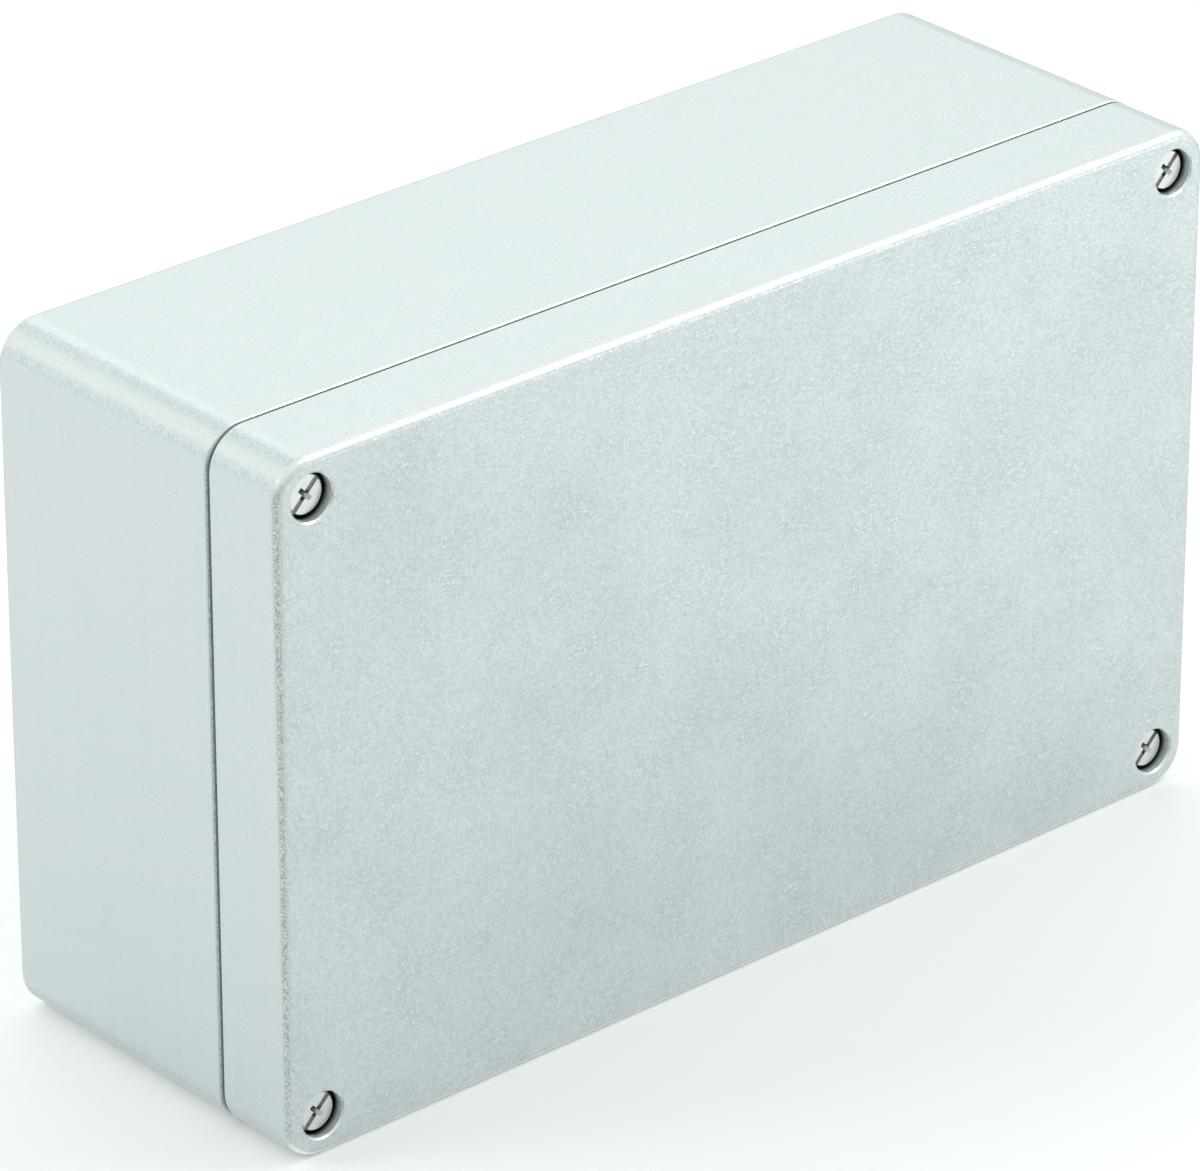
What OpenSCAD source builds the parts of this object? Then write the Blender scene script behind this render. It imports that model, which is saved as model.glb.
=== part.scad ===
/* [Box] */
// Length of the box over its ends
box_length = 260; // [220:1:360]
// Width of the box over its long sides
box_width = 160; // [150:1:240]
// Depth of the base, from its back to the joint line
base_depth = 68.5; // [50:0.5:110]
// Depth of the lid, from the joint line to its face
lid_depth = 21.5; // [20.5:0.5:30]
// Thickness of the side walls of base and lid
wall = 5; // [4.5:0.1:6]
// Thickness of the base's floor
floor_t = 4.5; // [3:0.1:8]
// Thickness of the lid's face
face_t = 4.5; // [3:0.1:6]
// Radius of the four upright corners
corner_r = 9; // [6:0.1:11]
// Rounding of the edges round the back of the base
back_edge_r = 2.3; // [1:0.1:3.5]
// Rounding of the edges round the face of the lid
face_edge_r = 2; // [1:0.1:3.5]
// Rounding where the floor or the face meets a wall inside
inner_r = 2.8; // [1:0.1:3.2]

/* [Joint line] */
// How far the lid's sides stand inside the base's
lid_step = 0.2; // [0:0.05:0.8]
// Width of the dark gap along the joint line
seam_gap = 0.8; // [0.2:0.05:1]
// How far the gap runs in under the lid
seam_run = 1; // [0.5:0.1:1]
// Edge break along the joint line
edge_break = 0.25; // [0.2:0.05:0.8]

/* [Seal] */
// Width of the raised tongue round the base's opening
tongue_w = 1.4; // [1:0.1:1.8]
// Height of the tongue
tongue_h = 2.4; // [1.5:0.1:3.5]
// Side clearance of the tongue in the lid's groove
tongue_gap = 0.4; // [0.2:0.05:0.5]
// Thickness of the pressed gasket
gasket_t = 1.8; // [1:0.1:3]
// Side clearance of the gasket in the groove
gasket_gap = 0.05; // [0.02:0.01:0.15]

/* [Wall mounting] */
// Distance of the wall mounting holes from the box's ends
mount_inset_l = 10; // [9.5:0.5:30]
// Distance of the wall mounting holes from the box's long sides
mount_inset_w = 25; // [23.5:0.5:40]
// Diameter of the wall mounting holes
mount_hole_d = 6.5; // [5:0.1:8]
// Diameter of the well over each wall mounting hole
well_d = 13; // [11:0.1:13.6]
// Metal left under each well
well_floor = 6; // [5:0.5:14]

/* [Lid screws] */
// Distance of the lid screws from the lid's ends and long sides
screw_inset = 9.5; // [9:0.1:10.5]
// Thread diameter of the lid screws
screw_d = 6; // [5:0.1:6.4]
// Head diameter of the lid screws
head_d = 9.2; // [8.6:0.1:9.8]
// Head height of the lid screws
head_h = 3.9; // [3:0.1:4.5]
// How far the heads lie below the lid's face
head_sink = 2.2; // [0.5:0.1:2.6]
// Side clearance of the heads in their recesses
head_gap = 0.65; // [0.1:0.05:0.8]
// Edge break round the mouth of each recess
recess_break = 0.4; // [0.1:0.05:0.6]
// Width of the screwdriver slot
slot_w = 1.2; // [0.8:0.1:1.8]
// Depth of the screwdriver slot
slot_depth = 1.6; // [1:0.1:2.2]
// Width across the cross recess
cross_w = 4; // [3.6:0.1:6]
// Width of the arms of the cross recess
cross_arm = 1.1; // [0.8:0.1:1.8]
// Depth of the cross recess
cross_depth = 2.5; // [1.8:0.1:2.8]
// Angle of the slots on the lid
slot_angle = 45; // [0:5:90]
// Depth of thread held in the base
grip = 9; // [6:0.5:10]
// Length of the narrow bore that carries each screw in the lid
neck_h = 3.5; // [2:0.1:4]
// Clearance round the screws in the lid
shank_gap = 0.3; // [0.2:0.05:0.6]
// Running clearance of the screw threads and of the rings' bores
thread_gap = 0.05; // [0.02:0.01:0.09]
// Depth of the tapped holes past the screw tips
hole_spare = 4; // [2:0.5:8]

/* [Retaining rings] */
// Outer diameter of the retaining rings
ring_d = 9.5; // [8.4:0.1:10]
// Thickness of the retaining rings
ring_t = 1.2; // [0.6:0.1:1.6]
// Depth of the groove in the screw's shank
groove_depth = 0.5; // [0.3:0.05:0.8]
// Height of the rings over the joint line
ring_lift = 0.6; // [0.3:0.1:1]
// Side clearance of the rings in the lid
ring_gap = 0.5; // [0.3:0.05:0.6]

/* [Inner bosses] */
// Distance of the plate bosses from the box's ends
boss_inset_l = 35; // [33:0.5:50]
// Distance of the plate bosses from the box's long sides
boss_inset_w = 22; // [18:0.5:35]
// Diameter of each boss at its top
boss_d = 10; // [8:0.1:14]
// Height of the bosses over the floor
boss_h = 8; // [7:0.5:15]
// Slope of the bosses' sides, added to the radius at the floor
boss_taper = 0.6; // [0:0.1:1.5]
// Diameter of the tapped holes in the bosses
boss_hole_d = 4; // [3:0.1:5]
// Depth of the tapped holes in the bosses
boss_hole_depth = 7; // [5:0.5:9]

/* [Earth terminal] */
// Place of the earth terminal along the length
earth_x = 62; // [-70:1:70]
// Place of the earth terminal across the width
earth_y = -32; // [-38:1:38]
// Diameter of the earth boss
earth_boss_d = 16; // [14:0.5:22]
// Height of the earth boss over the floor
earth_boss_h = 7; // [5:0.5:12]
// Thread diameter of the earth screw
earth_d = 6; // [5:0.1:6]
// Thread length of the earth screw
earth_length = 10; // [9:0.5:12]
// Head diameter of the earth screw
earth_head_d = 10; // [8.5:0.1:11]
// Head height of the earth screw
earth_head_h = 3.8; // [3:0.1:5]
// Width of the square earth clamp
clamp_w = 13; // [11:0.5:14]
// Thickness of the earth clamp
clamp_t = 1.5; // [1:0.1:2.5]
// Height of the clamp's turned-down edges
clamp_lip = 1.6; // [0.5:0.1:2.5]
// Thickness of the spring washer
spring_t = 1.6; // [1:0.1:2]
// Width of the spring washer's ring
spring_w = 2; // [1.5:0.1:2.2]
// Gap where the spring washer is split
spring_split = 1.2; // [0.6:0.1:2]
// Clearance of washers and clamp round the earth screw
earth_gap = 0.2; // [0.1:0.05:0.4]

/* [Hidden] */
$fn = 48;

// the box is drawn on its back, with its face up: x is the length, y the width and z the depth
box_depth = base_depth + lid_depth;
face_z = box_depth;

// spacings of the holes and bosses, which keep their distance from the outside
mount_pitch_l = box_length - 2 * mount_inset_l;
mount_pitch_w = box_width - 2 * mount_inset_w;
screw_pitch_l = box_length - 2 * screw_inset;
screw_pitch_w = box_width - 2 * screw_inset;
boss_pitch_l = box_length - 2 * boss_inset_l;
boss_pitch_w = box_width - 2 * boss_inset_w;

// the opening of the base and of the lid is a cross: the corner columns stand outside it
nose_r = well_d / 2 + wall;
opening_l = box_length - 2 * wall;
opening_w = box_width - 2 * wall;
waist_l = mount_pitch_l - 2 * nose_r;
waist_w = mount_pitch_w - 2 * nose_r;
opening_r = 3.5;

// the seal runs along the middle of the wall
seal_mid = wall / 2;
groove_w = tongue_w + 2 * tongue_gap;
groove_h = tongue_h + gasket_t;

// levels of a lid screw, seated
head_top = face_z - head_sink;
seat_z = head_top - head_h;
neck_z = seat_z - neck_h;
ring_z = base_depth + ring_lift;
tip_z = base_depth - grip;
thread_r = screw_d / 2 - thread_gap;
groove_r = screw_d / 2 - groove_depth;
head_edge = 0.4;
recess_r = head_d / 2 + head_gap;
tip_edge = 0.6;

// levels of the earth stack
earth_z = floor_t + earth_boss_h;
clamp_z = earth_z + clamp_lip;
spring_z = clamp_z + clamp_t;
earth_seat_z = spring_z + spring_t;
earth_hole_depth = earth_boss_h + floor_t - 2;

// the lid's relief over each well
relief_depth = lid_depth - face_t - 3;

cast = [0.83, 0.86, 0.86];
steel = [0.74, 0.75, 0.76];
black_rubber = [0.12, 0.12, 0.13];
nylon = [0.93, 0.92, 0.88];
plated = [0.80, 0.78, 0.62];

// how far a cut runs past the faces that it opens
past = 1;

// Turns a box drawn on its back onto its long side, with its face to the front
module stand() translate([0, box_depth / 2, box_width / 2]) rotate([90, 0, 0]) children();

// Copies a shape to the four places of a pattern
module at_corners(pitch_l, pitch_w)
    for (x = [-1, 1], y = [-1, 1]) translate([x * pitch_l / 2, y * pitch_w / 2, 0]) children();

// Place of one of the four lid screws
module at_screw(i)
    translate([(i % 2 == 0 ? -1 : 1) * screw_pitch_l / 2, (i < 2 ? 1 : -1) * screw_pitch_w / 2, 0]) children();

// Sweeps a profile round a rounded rectangle: its x runs outwards from the corner centres, its y up
module around(length, width, r)
    for (q = [0 : 3]) rotate(90 * q) {
        reach = (q % 2 == 0 ? length : width) / 2 - r;
        side = (q % 2 == 0 ? width : length) - 2 * r;
        translate([reach, 0, 0]) rotate([90, 0, 0]) linear_extrude(side, center = true) children();
        translate([reach, side / 2, 0]) rotate_extrude(angle = 90) children();
    }

// Half section of a slab with a round lower edge and a broken upper edge
module edge_profile(height, r, round_r, break_w) {
    translate([r - round_r, round_r]) circle(round_r);
    square([r - round_r, round_r]);
    polygon([[0, round_r], [r, round_r], [r, height - break_w], [r - break_w, height], [0, height]]);
}

// A slab on z = 0, with round upright corners, a round lower edge and a broken upper edge
module slab(length, width, height, r, round_r, break_w = 0) {
    around(length, width, r) intersection() {
        edge_profile(height, r, round_r, break_w);
        square([r, height]);
    }
    translate([r - length / 2, r - width / 2, 0]) cube([length - 2 * r, width - 2 * r, height]);
}

// Outline of a rounded rectangle
module rounded(length, width, r) {
    square([length - 2 * r, width], center = true);
    square([length, width - 2 * r], center = true);
    at_corners(length - 2 * r, width - 2 * r) circle(r);
}

// Outline of the cross-shaped opening, grown outwards by a distance
module opening_outline(grown = 0) {
    rounded(opening_l + 2 * grown, waist_w + 2 * grown, opening_r + grown);
    rounded(waist_l + 2 * grown, opening_w + 2 * grown, opening_r + grown);
    difference() {
        square([mount_pitch_l, mount_pitch_w], center = true);
        at_corners(mount_pitch_l, mount_pitch_w) circle(nose_r - grown);
    }
}

// A band along the opening, centred on the middle of the wall
module seal_band(width) difference() {
    opening_outline(seal_mid + width / 2);
    opening_outline(seal_mid - width / 2);
}

// The space inside the base or the lid, from its floor up, with its floor edges rounded
module hollow(height) {
    slab(opening_l, waist_w, height, opening_r, inner_r);
    slab(waist_l, opening_w, height, opening_r, inner_r);
    linear_extrude(height) difference() {
        square([mount_pitch_l, mount_pitch_w], center = true);
        at_corners(mount_pitch_l, mount_pitch_w) circle(nose_r);
    }
}

module base() color(cast) stand() difference() {
    union() {
        difference() {
            slab(box_length, box_width, base_depth, corner_r, back_edge_r, edge_break);
            translate([0, 0, floor_t]) hollow(base_depth);
        }
        translate([0, 0, base_depth]) linear_extrude(tongue_h) seal_band(tongue_w);
        at_corners(boss_pitch_l, boss_pitch_w) floor_boss(boss_d, boss_h);
        for (x = [-1, 1]) translate([x * boss_pitch_l / 2, 0, 0]) floor_boss(boss_d, boss_h);
        translate([earth_x, earth_y, 0]) floor_boss(earth_boss_d, earth_boss_h);
    }
    // wells and holes for fixing the base to a wall
    at_corners(mount_pitch_l, mount_pitch_w) {
        translate([0, 0, -past]) cylinder(d = mount_hole_d, h = well_floor + 2 * past);
        translate([0, 0, well_floor]) cylinder(d = well_d, h = base_depth);
    }
    // tapped holes for the lid screws
    at_corners(screw_pitch_l, screw_pitch_w)
        translate([0, 0, tip_z - hole_spare]) cylinder(d = screw_d, h = base_depth);
    // tapped holes in the bosses
    at_corners(boss_pitch_l, boss_pitch_w) boss_hole();
    for (x = [-1, 1]) translate([x * boss_pitch_l / 2, 0, 0]) boss_hole();
    translate([earth_x, earth_y, earth_z - earth_hole_depth]) cylinder(d = earth_d, h = earth_hole_depth + past);
}

// A boss that stands on the floor, wider at its foot
module floor_boss(d, height)
    translate([0, 0, floor_t / 2]) cylinder(r1 = d / 2 + boss_taper, r2 = d / 2, h = height + floor_t / 2);

module boss_hole()
    translate([0, 0, floor_t + boss_h - boss_hole_depth]) cylinder(d = boss_hole_d, h = boss_hole_depth + past);

module lid() color(cast) stand() difference() {
    translate([0, 0, face_z]) mirror([0, 0, 1])
        slab(box_length - 2 * lid_step, box_width - 2 * lid_step, lid_depth, corner_r - lid_step, face_edge_r);
    translate([0, 0, face_z - face_t]) mirror([0, 0, 1]) hollow(lid_depth);
    // groove for the tongue and the gasket
    translate([0, 0, base_depth - past]) linear_extrude(groove_h + past) seal_band(groove_w);
    // gap along the joint line
    translate([0, 0, base_depth - past]) linear_extrude(seam_gap + past) difference() {
        square([box_length + past, box_width + past], center = true);
        rounded(box_length - 2 * seam_run, box_width - 2 * seam_run, corner_r - seam_run);
    }
    // relief over each wall mounting screw
    at_corners(mount_pitch_l, mount_pitch_w)
        translate([0, 0, base_depth - past]) cylinder(d = well_d, h = relief_depth + past);
    // stepped bores for the captive screws
    at_corners(screw_pitch_l, screw_pitch_w) {
        translate([0, 0, seat_z]) cylinder(r = recess_r, h = lid_depth);
        translate([0, 0, face_z - recess_break])
            cylinder(r1 = recess_r, r2 = recess_r + 2 * recess_break, h = 2 * recess_break);
        translate([0, 0, base_depth - past]) cylinder(r = screw_d / 2 + shank_gap, h = lid_depth);
        translate([0, 0, base_depth - past])
            cylinder(d = ring_d + 2 * ring_gap, h = neck_z - base_depth + past);
    }
}

module lid_gasket() color(black_rubber) stand()
    translate([0, 0, base_depth + tongue_h]) linear_extrude(gasket_t) seal_band(groove_w - 2 * gasket_gap);

// Cross recess of a screw head, cut down from z = 0
module cross_recess() intersection() {
    translate([0, 0, -cross_depth]) cylinder(d1 = cross_arm, d2 = cross_w, h = cross_depth);
    for (a = [0, 90]) rotate(a) translate([-cross_w / 2, -cross_arm / 2, -cross_depth])
        cube([cross_w, cross_arm, cross_depth + past]);
}

// Head with its foot on z = 0, its top edge broken, a slot and a cross recess
module screw_head(d, height) difference() {
    union() {
        cylinder(d = d, h = height - head_edge);
        translate([0, 0, height - head_edge]) cylinder(r1 = d / 2, r2 = d / 2 - head_edge, h = head_edge);
    }
    translate([-d, -slot_w / 2, height - slot_depth]) cube([2 * d, slot_w, slot_depth + past]);
    translate([0, 0, height]) cross_recess();
}

// Round shaft from one level up to another
module shaft(r, from, to) translate([0, 0, from]) cylinder(r = r, h = to - from);

module lid_screw(i) color(steel) stand() at_screw(i) {
    translate([0, 0, seat_z]) rotate(slot_angle) screw_head(head_d, head_h);
    shaft(thread_r, ring_z + ring_t + thread_gap, seat_z);
    shaft(groove_r, ring_z - thread_gap, ring_z + ring_t + thread_gap);
    shaft(thread_r, tip_z + tip_edge, ring_z - thread_gap);
    translate([0, 0, tip_z]) cylinder(r1 = thread_r - tip_edge, r2 = thread_r, h = tip_edge);
}

module retaining_ring(i) color(nylon) stand() at_screw(i) translate([0, 0, ring_z]) difference() {
    cylinder(d = ring_d, h = ring_t);
    translate([0, 0, -past]) cylinder(r = groove_r + thread_gap, h = ring_t + 2 * past);
}

// Earth terminal: a clamp with turned-down edges, a split spring washer and a screw
module at_earth(z) stand() translate([earth_x, earth_y, z]) children();

module earth_clamp() color(plated) at_earth(earth_z) difference() {
    translate([-clamp_w / 2, -clamp_w / 2, 0]) cube([clamp_w, clamp_w, clamp_lip + clamp_t]);
    translate([-clamp_w, -clamp_w / 2 + clamp_t, -past])
        cube([2 * clamp_w, clamp_w - 2 * clamp_t, clamp_lip + past]);
    translate([0, 0, -past]) cylinder(r = earth_d / 2 + earth_gap, h = clamp_lip + clamp_t + 2 * past);
}

module earth_spring_washer() color(steel) at_earth(spring_z) difference() {
    cylinder(r = earth_d / 2 + earth_gap + spring_w, h = spring_t);
    translate([0, 0, -past]) cylinder(r = earth_d / 2 + earth_gap, h = spring_t + 2 * past);
    rotate([0, 0, slot_angle]) translate([0, -spring_split / 2, -past])
        cube([earth_d + spring_w, spring_split, spring_t + 2 * past]);
}

module earth_screw() color(plated) at_earth(earth_seat_z) {
    rotate(slot_angle) screw_head(earth_head_d, earth_head_h);
    translate([0, 0, -earth_length]) cylinder(r = earth_d / 2 - thread_gap, h = earth_length);
}

base();
lid();
lid_gasket();
lid_screw(0);  // lid_screw_1
lid_screw(1);  // lid_screw_2
lid_screw(2);  // lid_screw_3
lid_screw(3);  // lid_screw_4
retaining_ring(0);  // retaining_ring_1
retaining_ring(1);  // retaining_ring_2
retaining_ring(2);  // retaining_ring_3
retaining_ring(3);  // retaining_ring_4
earth_clamp();
earth_spring_washer();
earth_screw();
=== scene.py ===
# %% [markdown]
# # A die cast aluminium box
#
# The box is two castings, a deep base and a shallow lid, held by four steel screws that are sunk
# in the lid's corners. Between them lies a rubber seal. The solids come ready made, so this
# lesson is about finishes: how raw cast metal, bright turned steel, rubber, nylon and plated
# steel are built from noise, maths and a few masks, and how a studio is set up around them.

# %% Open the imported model
import math

import bpy
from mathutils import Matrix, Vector


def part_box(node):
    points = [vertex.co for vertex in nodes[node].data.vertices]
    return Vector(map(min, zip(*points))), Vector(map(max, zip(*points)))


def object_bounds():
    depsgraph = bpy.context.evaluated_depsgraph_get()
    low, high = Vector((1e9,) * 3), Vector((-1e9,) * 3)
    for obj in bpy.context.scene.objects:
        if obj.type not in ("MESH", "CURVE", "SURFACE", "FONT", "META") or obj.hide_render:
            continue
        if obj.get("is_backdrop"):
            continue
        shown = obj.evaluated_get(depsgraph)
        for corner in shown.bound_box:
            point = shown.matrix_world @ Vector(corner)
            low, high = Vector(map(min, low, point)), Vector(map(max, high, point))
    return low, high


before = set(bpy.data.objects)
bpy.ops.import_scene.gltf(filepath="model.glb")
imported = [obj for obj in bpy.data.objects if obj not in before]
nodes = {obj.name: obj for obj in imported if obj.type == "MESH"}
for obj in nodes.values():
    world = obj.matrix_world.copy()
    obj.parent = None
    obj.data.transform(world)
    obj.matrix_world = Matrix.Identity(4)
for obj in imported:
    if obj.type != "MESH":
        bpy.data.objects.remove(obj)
packed_low, packed_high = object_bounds()
size = packed_high - packed_low
middle = (packed_low + packed_high) / 2
print("the box measures", [round(s * 1000, 1) for s in size], "mm and has", len(nodes), "pieces")

# %% [markdown]
# A few places on the box are used again by the finishes: where the lid meets the base, where the
# lid's face lies, and how far from the middle the screws stand. They are read from the pieces, so
# that the finishes stay in place if the box is made in another size. The recess round each screw
# is a little wider than its head, and is given by its radius and its depth.

# %% Places on the box
lid_low, lid_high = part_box("lid")
joint_y = lid_high.y
face_y = lid_low.y
screw_low, screw_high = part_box("lid_screw_2")
screw_x = (screw_low.x + screw_high.x) / 2
screw_z = abs((screw_low.z + screw_high.z) / 2 - middle.z)
recess_radius = 0.0054
recess_floor = 0.0064
print("joint line at y =", round(joint_y, 4), "and screws", round(screw_x, 4), "m left and right")

# %% [markdown]
# Every finish starts in the same way: a material with a Principled shader, whose fixed values are
# set on the shader itself. A few small helpers keep the node trees readable. One adds a node with
# its settings and input values, and the others are the sums that come up again and again: a
# product of masks, a distance from an axis, a soft step between two values, and a tint laid over
# a colour.

# %% Helpers for node trees
def plug(tree, socket, value):
    if isinstance(value, bpy.types.NodeSocket):
        tree.links.new(value, socket)
    else:
        socket.default_value = value


def add_node(tree, kind, settings=None, **inputs):
    node = tree.nodes.new("ShaderNode" + kind)
    for name, value in (settings or {}).items():
        setattr(node, name, value)
    for name, value in inputs.items():
        plug(tree, node.inputs[name.replace("_", " ")], value)
    return node


def calc(tree, operation, *values):
    node = add_node(tree, "Math", {"operation": operation})
    for socket, value in zip(node.inputs, values):
        plug(tree, socket, value)
    return node.outputs[0]


def product(tree, result, *factors):
    for factor in factors:
        result = calc(tree, "MULTIPLY", result, factor)
    return result


def distance(tree, one_way, other_way):
    squares = [calc(tree, "POWER", way, 2.0) for way in (one_way, other_way)]
    return calc(tree, "SQRT", calc(tree, "ADD", *squares))


def ramp(tree, value, start, end):
    return add_node(tree, "MapRange", {"clamp": True, "interpolation_type": "SMOOTHSTEP"},
                    Value=value, From_Min=start, From_Max=end).outputs[0]


def noise(tree, place, scale, **values):
    return add_node(tree, "TexNoise", Vector=place, Scale=scale, **values).outputs["Fac"]


def blend_colours(tree, how, amount, under, over):
    node = add_node(tree, "Mix", {"data_type": "RGBA", "blend_type": how, "clamp_factor": True})
    for number, value in ((0, amount), (6, under), (7, over)):
        plug(tree, node.inputs[number], value)
    return node.outputs[2]


print("the helpers are ready")

# %% [markdown]
# A finish is made once and then worn by one piece or by several. The pieces keep their shape:
# only the material in their slot changes.

# %% Helpers for finishes
def new_finish(name, **shader_values):
    material = bpy.data.materials.new(name)
    material.use_nodes = True
    tree = material.node_tree
    shader = tree.nodes["Principled BSDF"]
    for socket, value in shader_values.items():
        shader.inputs[socket.replace("_", " ")].default_value = value
    return material, tree, shader


def object_place(tree):
    return add_node(tree, "TexCoord").outputs["Object"]


def add_bump(tree, shader, strength, distance_m, height):
    bump = add_node(tree, "Bump", Strength=strength, Distance=distance_m, Height=height)
    tree.links.new(bump.outputs[0], shader.inputs["Normal"])


def wear(node_names, material):
    for name in node_names:
        slots = nodes[name].data.materials
        slots.clear()
        slots.append(material)
    print(material.name, "is on", ", ".join(node_names))


print("finishes can be made and worn")

# %% [markdown]
# An effect that several finishes share is a node group: it is built once, with named inputs and
# outputs, and each material places it with its own values.

# %% Helper for node groups
FLOAT, VECTOR = "NodeSocketFloat", "NodeSocketVector"


def new_group(name, inputs, outputs):
    group = bpy.data.node_groups.new(name, "ShaderNodeTree")
    group.interface.new_socket("Place", in_out="INPUT", socket_type=VECTOR)
    for label, value in inputs.items():
        group.interface.new_socket(label, in_out="INPUT", socket_type=FLOAT).default_value = value
    for label in outputs:
        group.interface.new_socket(label, in_out="OUTPUT", socket_type=FLOAT)
    return group, group.nodes.new("NodeGroupInput").outputs, group.nodes.new("NodeGroupOutput").inputs


def use_group(tree, group, place, **values):
    return add_node(tree, "Group", {"node_tree": group}, Place=place, **values).outputs


print("node groups can be made")

# %% [markdown]
# Grain is the first effect that several metals share. Tumbling in a drum of stones leaves raw
# castings with a fine, even speckle, and over it a softer cloudy mottling where the skin of the
# casting took the stones differently. The group puts out a cloud mask and a speckle mask, and
# each metal sets its own scales.

# %% Shared effect: cloud and speckle
grain, grain_in, grain_out = new_group(
    "Tumbled grain", {"Cloud scale": 60.0, "Speckle scale": 900.0}, ["Cloud", "Speckle"])
broad = noise(grain, grain_in["Place"], grain_in["Cloud scale"], Detail=3.0, Roughness=0.62)
fine = noise(grain, grain_in["Place"], grain_in["Speckle scale"], Detail=1.5, Roughness=0.7)
grain.links.new(ramp(grain, broad, 0.3, 0.7), grain_out["Cloud"])
grain.links.new(ramp(grain, fine, 0.25, 0.75), grain_out["Speckle"])
print("the grain group has", len(grain.nodes), "nodes")

# %% [markdown]
# Where two stones met the metal, a bright nick is left, and where gas came out of it, a dark pit.
# Both are small dots thrown at random. A Voronoi pattern gives one point in each cell: the
# distance from it draws the dot, and the cell's own random colour says which cells have one.

# %% Shared effect: scattered dots
dots, dots_in, dots_out = new_group(
    "Scattered dots", {"Scale": 900.0, "Radius": 0.3, "Share": 0.2}, ["Dots"])
cells = add_node(dots, "TexVoronoi", Vector=dots_in["Place"], Scale=dots_in["Scale"])
chance = add_node(dots, "SeparateXYZ", Vector=cells.outputs["Color"]).outputs[0]
chosen = calc(dots, "LESS_THAN", chance, dots_in["Share"])
how_far = calc(dots, "DIVIDE", cells.outputs["Distance"], dots_in["Radius"])
round_dot = calc(dots, "MAXIMUM", calc(dots, "SUBTRACT", 1.0, how_far), 0.0)
dots.links.new(product(dots, chosen, round_dot), dots_out["Dots"])
print("the dots group has", len(dots.nodes), "nodes")

# %% [markdown]
# Handling leaves hair-fine strokes on such soft metal, short and in every direction. One layer is
# a noise that is turned by an angle and drawn out in one direction, and cut so that only its
# thinnest crests are left. Four layers at four angles are enough to look like chance.

# %% Shared effect: hairline strokes
stroke_angles = {0.95: 3.1, -0.6: 7.7, 0.15: 5.2, 1.5: 1.4}  # radians, and where its noise starts
stroke_squeeze = 0.14
crest_from, crest_full = 0.71, 0.79

strokes, strokes_in, strokes_out = new_group(
    "Hairline strokes", {"Scale": 900.0, "Amount": 0.5}, ["Stroke"])
hairlines = 0.0
for angle, shift in stroke_angles.items():
    turned = add_node(strokes, "Mapping", Vector=strokes_in["Place"], Rotation=(0.0, angle, 0.0),
                      Scale=(stroke_squeeze, 1.0, 1.0), Location=(shift, shift / 2, -shift))
    hair = ramp(strokes, noise(strokes, turned.outputs[0], strokes_in["Scale"], Detail=0.0),
                crest_from, crest_full)
    hairlines = calc(strokes, "MAXIMUM", hairlines, hair)
strokes.links.new(product(strokes, hairlines, strokes_in["Amount"]), strokes_out["Stroke"])
print("the stroke group has", len(stroke_angles), "layers")

# %% [markdown]
# A thread is modelled in the solids as a plain shaft or hole, because its ridges are too small to
# carry load in the motion model. Here the ridges come back as a helix of light: the height rises
# and falls once a pitch along the axis, and the angle round the axis shifts it along.

# %% Shared effect: screw thread
thread, thread_in, thread_out = new_group("Screw thread", {"Pitch": 0.001}, ["Height"])
from_axis = add_node(thread, "SeparateXYZ", Vector=thread_in["Place"]).outputs
around = calc(thread, "DIVIDE", calc(thread, "ARCTAN2", from_axis[2], from_axis[0]), 2 * math.pi)
turns = calc(thread, "ADD", calc(thread, "DIVIDE", from_axis[1], thread_in["Pitch"]), around)
saw = calc(thread, "PINGPONG", turns, 0.5)
thread.links.new(product(thread, saw, 2.0), thread_out["Height"])
print("the thread group has", len(thread.nodes), "nodes")

# %% [markdown]
# ## Raw cast aluminium
#
# Cast aluminium that has only been tumbled is pale and satin, between a metal and a stone. Its
# rounded corners and edges wear differently from its flat sides, and they also get painted
# highlights and painted shade, so the finish first has to find them. The surface's own direction
# tells: on a flat side one part of the normal is 1, and on a rounding none is. Six masks come from it:
#
# - rounding is anywhere on a rounded corner or edge, and crown only along its middle
# - edge is the edges round the lid's face and the base's back, and rim the upright ones of them
# - front is all that faces forwards, as the lid does, and upright all but what faces up or down

# %% Where the casting is round, and which way it faces
def casting_masks(tree):
    normal = add_node(tree, "NewGeometry").outputs["Normal"]
    direction = add_node(tree, "SeparateXYZ", Vector=normal).outputs
    across, along, up = [calc(tree, "ABSOLUTE", direction[number]) for number in range(3)]
    flatness = calc(tree, "MAXIMUM", calc(tree, "MAXIMUM", across, along), up)
    edge = product(tree, ramp(tree, along, 0.10, 0.55), ramp(tree, along, 0.995, 0.80))
    return {
        "rounding": ramp(tree, flatness, 0.995, 0.93),
        "crown": ramp(tree, flatness, 0.90, 0.76),
        "edge": edge,
        "rim": product(tree, edge, ramp(tree, up, 0.55, 0.15)),
        "front": ramp(tree, direction[1], -0.9, -0.98),
        "upright": ramp(tree, up, 0.75, 0.45)}


print("the casting's rounded parts can be found")

# %% [markdown]
# Little light reaches the bottom of the screws' recesses, so their walls are painted darker with
# depth, a painted shade that goes to near black. The mask is kept to the recess by its radius and
# its floor. Otherwise it would go on through the whole box, and leave dark discs on the base's back,
# in line with the screws.

# %% How deep a point lies in a screw's recess
recess_shade_from, recess_shade_full = 0.0010, 0.0028


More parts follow.
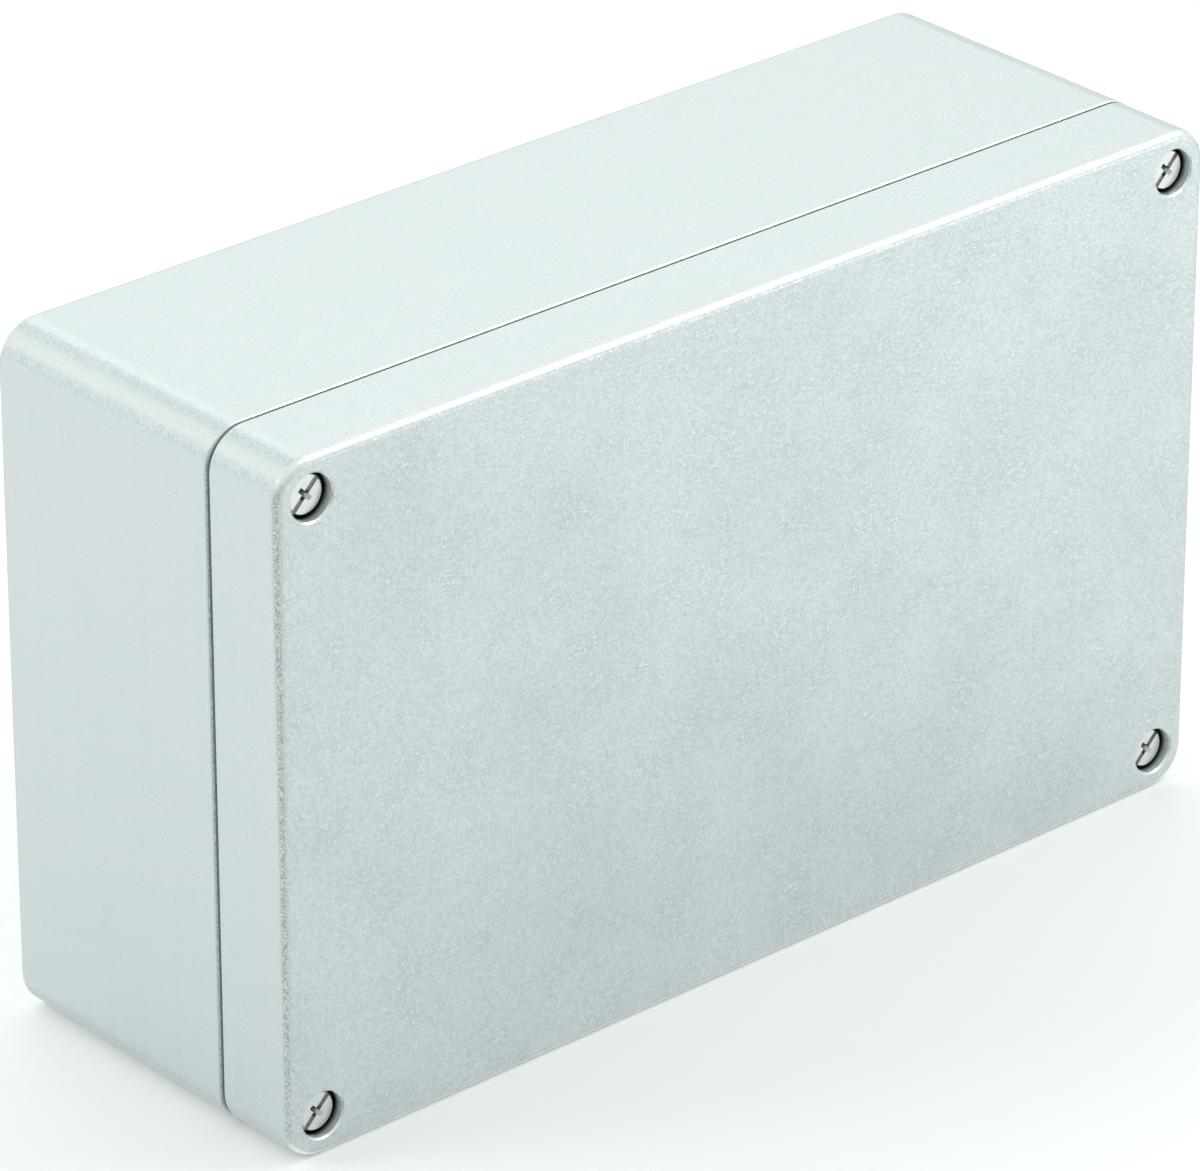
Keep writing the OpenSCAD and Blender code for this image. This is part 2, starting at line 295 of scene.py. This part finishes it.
def recess_shade(tree, place):
    spot = add_node(tree, "SeparateXYZ", Vector=place).outputs
    above_middle = calc(tree, "SUBTRACT", spot[2], middle.z)
    off_x = calc(tree, "SUBTRACT", calc(tree, "ABSOLUTE", spot[0]), screw_x)
    off_z = calc(tree, "SUBTRACT", calc(tree, "ABSOLUTE", above_middle), screw_z)
    depth = calc(tree, "SUBTRACT", spot[1], face_y)
    return product(tree,
                   calc(tree, "LESS_THAN", distance(tree, off_x, off_z), recess_radius),
                   calc(tree, "LESS_THAN", depth, recess_floor),
                   ramp(tree, depth, recess_shade_from, recess_shade_full))


print("the recesses darken from", recess_shade_from * 1000, "to", recess_shade_full * 1000, "mm deep")

# %% [markdown]
# The marks on the metal lie in layers of their own: clouds and speckle from the grain group, nicks
# and hairlines that are bright and come in clusters, a few dark pits, and faint streaks that run
# up and down, as the metal was drawn from the die. They are strongest on the lid's face, which is
# the side that is handled, so the other sides get a quarter of them. The coarse speckle and the
# sparkle are for the rounded parts: the coarse speckle roughens them where the stones hit hardest,
# and both speckle the painted highlight and painted shade laid on them.

# %% Marks on the casting
marks_elsewhere = 0.25


def casting_marks(tree, place, masks):
    texture = use_group(tree, grain, place, Cloud_scale=30.0, Speckle_scale=1500.0)
    nicks = use_group(tree, dots, place, Scale=1100.0, Radius=0.42, Share=0.45)["Dots"]
    hairs = use_group(tree, strokes, place, Scale=2800.0, Amount=0.6)["Stroke"]
    cluster = ramp(tree, noise(tree, place, 120.0, Detail=2.5, Roughness=0.6), 0.38, 0.70)
    drawn = add_node(tree, "Mapping", Vector=place, Scale=(260.0, 260.0, 9.0)).outputs[0]
    here = calc(tree, "MULTIPLY_ADD", masks["front"], 1.0 - marks_elsewhere, marks_elsewhere)
    return {
        "cloud": texture["Cloud"],
        "speckle": texture["Speckle"],
        "front_cloud": product(tree, texture["Cloud"], here),
        "front_speckle": product(tree, texture["Speckle"], here),
        "front_cluster": product(tree, cluster, here),
        "bright": product(tree, calc(tree, "MAXIMUM", nicks, hairs), cluster, here),
        "pits": use_group(tree, dots, place, Scale=300.0, Radius=0.12, Share=0.02)["Dots"],
        "streak": noise(tree, drawn, 1.0, Detail=1.0),
        "coarse": ramp(tree, texture["Speckle"], 0.30, 0.70),
        "sparkle": ramp(tree, noise(tree, place, 2600.0, Detail=1.0), 0.35, 0.65)}


print("marks on the other sides have", marks_elsewhere, "of the strength on the lid's face")

# %% [markdown]
# The colour is then laid on layer by layer, each with its mask, its strength and its tint. A MIX
# layer replaces what is under it, and a MULTIPLY layer stains it. The corners get a painted
# highlight along their crown, pale, warm and speckled, with painted shade on the shoulder each side
# of it. The edges round the lid's face and the base's back are painted bright, a painted highlight,
# and the upright ones of them are painted greyer with a sparkle, a painted shade. Painted shade
# darkens the upright sides along the joint, and the screws' recesses are painted near black with
# depth, a painted shade. Roughness starts satin and follows the same masks.

# %% The casting's finish
casting_light = (0.655, 0.708, 0.706, 1)
casting_dark = (0.61, 0.663, 0.664, 1)
casting_roughness = 0.46
joint_shade_from, joint_shade_full = 0.0011, 0.0003


def cast_finish(name):
    material, tree, shader = new_finish(name, Metallic=0.7, IOR=1.5, Specular_IOR_Level=0.6)
    place = object_place(tree)
    masks = casting_masks(tree)
    marks = casting_marks(tree, place, masks)
    rounding, crown, edge, coarse = masks["rounding"], masks["crown"], masks["edge"], marks["coarse"]

    # painted shade on each side of a rounded corner's crown, speckled
    shoulder_shade = product(tree, calc(tree, "SUBTRACT", rounding, crown),
                       calc(tree, "MULTIPLY_ADD", coarse, 0.13, 0.06))
    # painted shade on the upright edges, speckled by the sparkle
    painted_rim_shade = product(tree, masks["rim"], calc(tree, "MULTIPLY_ADD", marks["sparkle"], 0.55, 0.45))
    # painted shade along the joint, on the upright sides only
    along = add_node(tree, "SeparateXYZ", Vector=place).outputs[1]
    from_joint = calc(tree, "ABSOLUTE", calc(tree, "SUBTRACT", along, joint_y))
    near_joint = ramp(tree, from_joint, joint_shade_from, joint_shade_full)
    joint_painted_shade = product(tree, near_joint, masks["upright"])

    colour = casting_light
    for how, mask, strength, tint in (
            ("MIX", marks["front_cloud"], 1.0, casting_dark),
            ("MULTIPLY", marks["front_cluster"], 0.14, (0.72, 0.75, 0.76, 1)),
            ("MULTIPLY", marks["streak"], 0.10, (0.70, 0.73, 0.74, 1)),
            ("MULTIPLY", marks["front_speckle"], 0.48, (0.66, 0.69, 0.70, 1)),
            ("MIX", marks["bright"], 0.68, (0.97, 0.98, 0.98, 1)),
            ("MULTIPLY", marks["pits"], 0.35, (0.35, 0.36, 0.36, 1)),
            ("MULTIPLY", shoulder_shade, 1.0, (0.62, 0.65, 0.66, 1)),
            # painted highlight along the rounded corners' crown, warm and speckled
            ("MIX", product(tree, crown, coarse), 0.30, (0.95, 0.94, 0.92, 1)),
            # painted highlight: the edges round the lid's face and the base's back are painted bright
            ("MIX", edge, 0.8, (0.93, 0.96, 0.96, 1)),
            # painted shade on the upright edges
            ("MULTIPLY", painted_rim_shade, 1.0, (0.38, 0.405, 0.405, 1)),
            # painted shade along the joint
            ("MULTIPLY", joint_painted_shade, 0.6, (0.52, 0.55, 0.55, 1)),
            # painted shade: the screws' recesses are painted near black with depth
            ("MIX", recess_shade(tree, place), 1.0, (0.03, 0.032, 0.033, 1))):
        colour = blend_colours(tree, how, product(tree, mask, strength), colour, tint)
    tree.links.new(colour, shader.inputs["Base Color"])

    rough = casting_roughness
    for mask, change in (
            (marks["cloud"], -0.05),
            (product(tree, rounding, calc(tree, "SUBTRACT", 1.0, edge)), 0.14),
            (product(tree, rounding, coarse), 0.10),
            (edge, -0.14),
            (marks["bright"], -0.15)):
        rough = calc(tree, "MULTIPLY_ADD", mask, change, rough)
    tree.links.new(rough, shader.inputs["Roughness"])
    add_bump(tree, shader, strength=0.22, distance_m=0.0002, height=marks["speckle"])
    return material


wear(["base", "lid"], cast_finish("Raw cast aluminium"))

# %% [markdown]
# ## Bright steel screws
#
# The heads are turned, so their faces carry fine rings round the screw's axis, and the rings'
# depth changes the gloss a little. The shank is rolled thread. The middle of the cross recess is
# the deepest part of the slot, and it is painted dark, a painted shade. Each screw has its own axis,
# so each gets its own copy of the finish, centred on that screw. The same finish, with a warmer
# tint or without a thread, serves the plated parts of the earth terminal later on.

# %% The screws' finish
thread_pitch = 0.001
no_thread = 1.0  # a thread that would start a metre away
rings_per_metre = 9000.0
slot_floor = 0.003
cross_radius, cross_core = 0.0017, 0.0009
cross_shade_from, cross_shade_full = 0.0002, 0.0018
smudge_grey = (0.75, 0.75, 0.74, 1)
cross_black = (0.02, 0.02, 0.02, 1)


def screw_finish(name, node_name, tint, thread_from, cross_shade=0.0):
    low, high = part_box(node_name)
    centre = (low + high) / 2
    material, tree, shader = new_finish(name, Metallic=1.0)
    centred = add_node(tree, "Mapping", Vector=object_place(tree),
                       Location=(-centre.x, 0.0, -centre.z)).outputs[0]
    spot = add_node(tree, "SeparateXYZ", Vector=centred).outputs
    radius = distance(tree, spot[0], spot[2])
    depth = calc(tree, "SUBTRACT", spot[1], low.y)
    rings = add_node(tree, "TexNoise", {"noise_dimensions": "1D"}, Scale=1.0, Detail=2.0,
                     W=product(tree, radius, rings_per_metre)).outputs["Fac"]
    smudge = use_group(tree, grain, centred, Cloud_scale=350.0, Speckle_scale=2500.0)["Cloud"]
    # painted shade: the middle of the cross recess is painted dark with depth
    in_cross = product(tree,
                       calc(tree, "LESS_THAN", depth, slot_floor),
                       ramp(tree, radius, cross_radius, cross_core),
                       ramp(tree, depth, cross_shade_from, cross_shade_full))

    colour = blend_colours(tree, "MULTIPLY", product(tree, smudge, 0.25), tint, smudge_grey)
    colour = blend_colours(tree, "MIX", product(tree, in_cross, cross_shade), colour, cross_black)
    tree.links.new(colour, shader.inputs["Base Color"])
    rough = calc(tree, "MULTIPLY_ADD", smudge, 0.12, 0.2)
    tree.links.new(calc(tree, "MULTIPLY_ADD", rings, 0.1, rough), shader.inputs["Roughness"])

    ridges = use_group(tree, thread, centred, Pitch=thread_pitch)["Height"]
    on_shank = calc(tree, "GREATER_THAN", spot[1], thread_from)
    height = calc(tree, "MULTIPLY_ADD", rings, 0.02, product(tree, ridges, on_shank))
    add_bump(tree, shader, strength=0.9, distance_m=0.0004, height=height)
    return material


head_depth = 0.0041
stainless = (0.73, 0.755, 0.755, 1)
for number in (1, 2, 3, 4):
    name = f"lid_screw_{number}"
    thread_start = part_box(name)[0].y + head_depth
    finish = screw_finish(f"Stainless steel {number}", name, stainless, thread_start, cross_shade=0.7)
    wear([name], finish)

# %% [markdown]
# ## Seal, rings and earth terminal
#
# These are only seen with the lid off. The seal is cut from closed-cell rubber, dull and faintly
# pitted. The rings that keep the screws in the lid are natural nylon, waxy and slightly clear.
# Both are the same recipe with other values: a clouded colour, and a fine speckle that roughens
# the surface. The earth terminal is zinc plated with a straw-coloured passivation.

# %% Rubber, nylon and plated steel
def clouded_finish(name, scales, colours, roughness, bump, **shader_values):
    material, tree, shader = new_finish(name, **shader_values)
    texture = use_group(tree, grain, object_place(tree), Cloud_scale=scales[0], Speckle_scale=scales[1])
    tree.links.new(blend_colours(tree, "MIX", texture["Cloud"], *colours), shader.inputs["Base Color"])
    rough = calc(tree, "MULTIPLY_ADD", texture["Speckle"], roughness[1], roughness[0])
    tree.links.new(rough, shader.inputs["Roughness"])
    add_bump(tree, shader, *bump, texture["Speckle"])
    return material


wear(["lid_gasket"], clouded_finish(
    "Black seal rubber", scales=(300.0, 3000.0),
    colours=((0.014, 0.014, 0.015, 1), (0.026, 0.026, 0.027, 1)),
    roughness=(0.68, 0.12), bump=(0.3, 0.0001), IOR=1.45))
wear([f"retaining_ring_{number}" for number in (1, 2, 3, 4)], clouded_finish(
    "Natural nylon", scales=(500.0, 4000.0),
    colours=((0.80, 0.78, 0.72, 1), (0.87, 0.86, 0.82, 1)),
    roughness=(0.38, 0.1), bump=(0.15, 0.00005),
    IOR=1.53, Subsurface_Weight=0.25, Subsurface_Scale=0.0008))

straw = (0.80, 0.74, 0.52, 1)
spring_grey = (0.72, 0.72, 0.72, 1)
earth_head_depth = 0.0038
earth_thread_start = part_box("earth_screw")[0].y + earth_head_depth
wear(["earth_screw"], screw_finish("Plated steel screw", "earth_screw", straw, earth_thread_start))
wear(["earth_clamp"], screw_finish("Plated steel clamp", "earth_clamp", straw, no_thread))
washer_finish = screw_finish("Spring steel", "earth_spring_washer", spring_grey, no_thread)
wear(["earth_spring_washer"], washer_finish)

# %% [markdown]
# ## The studio
#
# Satin metal shows whatever stands round it, so the studio matters as much as the finish. The box
# stands on white paper under a pale sky. The paper glows very slightly, which keeps its shadow
# soft.

# %% Floor
bpy.ops.object.select_all(action="DESELECT")
bpy.ops.mesh.primitive_plane_add(size=12.0, location=(0.0, 0.0, 0.0))
floor = bpy.context.object
floor.name = "studio_floor"
paper, paper_tree, paper_shader = new_finish(
    "Studio paper", Roughness=0.9, Emission_Color=(0.96, 0.98, 1.0, 1), Emission_Strength=0.085)
fibres = noise(paper_tree, object_place(paper_tree), 400.0, Detail=2.0)
paper_white = blend_colours(paper_tree, "MIX", fibres, (0.90, 0.90, 0.90, 1), (0.92, 0.92, 0.92, 1))
paper_tree.links.new(paper_white, paper_shader.inputs["Base Color"])
floor.data.materials.append(paper)
floor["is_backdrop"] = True
print("the floor is", round(floor.dimensions.x, 1), "m wide")

# %% [markdown]
# A big soft light hangs behind and above the box and whitens its top, and another fills the left
# side. A small key light to the right draws the bright line along the lid's upper edge. The last
# one stands low in front, where the lid mirrors it more and more towards the top, which shades
# the lid softly from top to bottom.

# %% Lights
studio_lights = {  # place, width, height, power in watts
    "overhead_back": ((0.45, 1.3, 1.5), 2.4, 1.4, 9.8),
    "left_back": ((-1.5, 0.9, 1.05), 0.8, 1.0, 7.8),
    "key_right": ((0.35, -0.32, 0.6), 0.3, 0.3, 1.1),
    "low_front": ((0.77, -0.915, 0.12), 0.2, 0.2, 1.5)}

for name, (place, width, height, power) in studio_lights.items():
    lamp = bpy.data.lights.new(name, "AREA")
    lamp.shape, lamp.size, lamp.size_y, lamp.energy = "RECTANGLE", width, height, power
    light = bpy.data.objects.new(name, lamp)
    bpy.context.scene.collection.objects.link(light)
    light.location = place
    light.visible_camera = False
    light.rotation_euler = (middle - Vector(place)).to_track_quat("-Z", "Y").to_euler()

sky_colour, sky_strength = (0.955, 0.99, 0.99, 1), 0.785
world = bpy.data.worlds.new("Studio")
world.use_nodes = True
sky = world.node_tree.nodes["Background"]
sky.inputs["Color"].default_value = sky_colour
sky.inputs["Strength"].default_value = sky_strength
bpy.context.scene.world = world
bpy.context.scene.view_settings.view_transform = "Standard"
print("the studio has", len(studio_lights), "soft lights")

# %% [markdown]
# The camera looks down on the box from the front left with a long lens, from far enough away
# that the box's edges run almost parallel. It aims a few millimetres off the box's middle, which
# centres the box in the view.

# %% Camera
camera_place = Vector((-0.9976, -1.1215, 0.8282))
aim = middle + Vector((-0.0042, 0.0007, -0.0047))
camera_data = bpy.data.cameras.new("camera")
camera_data.sensor_width = 36.0
camera_data.lens = 234.8
camera = bpy.data.objects.new("camera", camera_data)
bpy.context.scene.collection.objects.link(camera)
camera.location = camera_place
camera.rotation_euler = (aim - camera_place).to_track_quat("-Z", "Y").to_euler()
bpy.context.scene.camera = camera
print("the camera is", round((aim - camera_place).length, 2), "m away")

# %% [markdown]
# Finishes must not change the box's size. Its bounds are measured again, and the difference from
# the first size is printed.

# %% Compare the sizes and finish
shown_low, shown_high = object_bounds()
change = shown_high - shown_low - size
print("the shown box differs by", [round(part * 1000, 3) for part in change], "mm")
